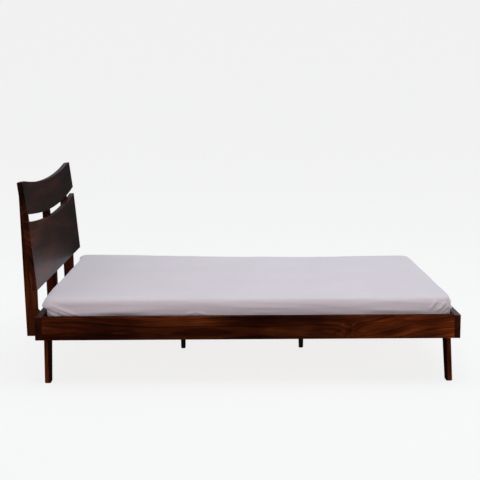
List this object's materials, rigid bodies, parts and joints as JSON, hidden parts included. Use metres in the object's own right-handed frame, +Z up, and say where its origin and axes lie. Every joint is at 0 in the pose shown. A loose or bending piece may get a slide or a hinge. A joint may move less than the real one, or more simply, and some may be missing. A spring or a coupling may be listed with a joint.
{
  "type": "platform bed",
  "caption": "Low wooden platform bed with a reclined headboard of two wide boards under a scooped crest, slatted deck, and a thin loose mattress in a fitted sheet.",
  "frame": {"origin": "middle of the whole bed's box, on the floor under the legs", "axes": "+X from the headboard to the foot, +Y to the left of a person lying on the bed, +Z up"},
  "size_m": [2.138, 1.42, 0.9876],
  "materials": {
    "frame_wood": "satin",
    "pale_wood": "matte",
    "black_stained_wood": "satin",
    "bronzed_steel": "satin",
    "hanger_steel": "satin",
    "zinc_steel": "satin",
    "glide_plastic": "matte",
    "ticking": "matte",
    "sheet_cotton": "matte"
  },
  "bodies": {
    "bed_frame": {"beam_hanger_foot": "hanger_steel", "beam_hanger_head": "hanger_steel", "centre_beam": "pale_wood", "centre_leg_foot": "black_stained_wood", "centre_leg_glides": "glide_plastic", "centre_leg_head": "black_stained_wood", "centre_leg_studs": "zinc_steel", "corner_leg_glides": "glide_plastic", "crest_board": "frame_wood", "crest_board_screws": "zinc_steel", "foot_cross_rail": "frame_wood", "hanger_screws": "zinc_steel", "head_cross_rail": "frame_wood", "ledger_left": "pale_wood", "ledger_right": "pale_wood", "ledger_screws": "zinc_steel", "leg_bolts": "bronzed_steel", "leg_foot_left": "frame_wood", "leg_foot_right": "frame_wood", "leg_head_left": "frame_wood", "leg_head_right": "frame_wood", "leg_inserts": "zinc_steel", "lower_board": "frame_wood", "lower_board_screws": "zinc_steel", "rail_barrel_nuts": "zinc_steel", "rail_bolts": "bronzed_steel", "rail_dowels": "pale_wood", "side_rail_left": "frame_wood", "side_rail_right": "frame_wood", "slat_01": "pale_wood", "slat_02": "pale_wood", "slat_03": "pale_wood", "slat_04": "pale_wood", "slat_05": "pale_wood", "slat_06": "pale_wood", "slat_07": "pale_wood", "slat_08": "pale_wood", "slat_09": "pale_wood", "slat_10": "pale_wood", "slat_11": "pale_wood", "slat_12": "pale_wood", "slat_13": "pale_wood", "slat_14": "pale_wood", "slat_screws": "zinc_steel", "stile_bolts": "bronzed_steel", "stile_centre": "frame_wood", "stile_inserts": "zinc_steel", "stile_left": "frame_wood", "stile_right": "frame_wood", "stile_washers": "bronzed_steel"},
    "mattress": {"mattress_core": "ticking", "fitted_sheet": "sheet_cotton"}
  },
  "joints": [
    {"name": "mattress_lift", "type": "slide", "parent": "bed_frame", "child": "mattress", "axis": [0, 0, 1], "range_m": [0, 0.25]}
  ]
}
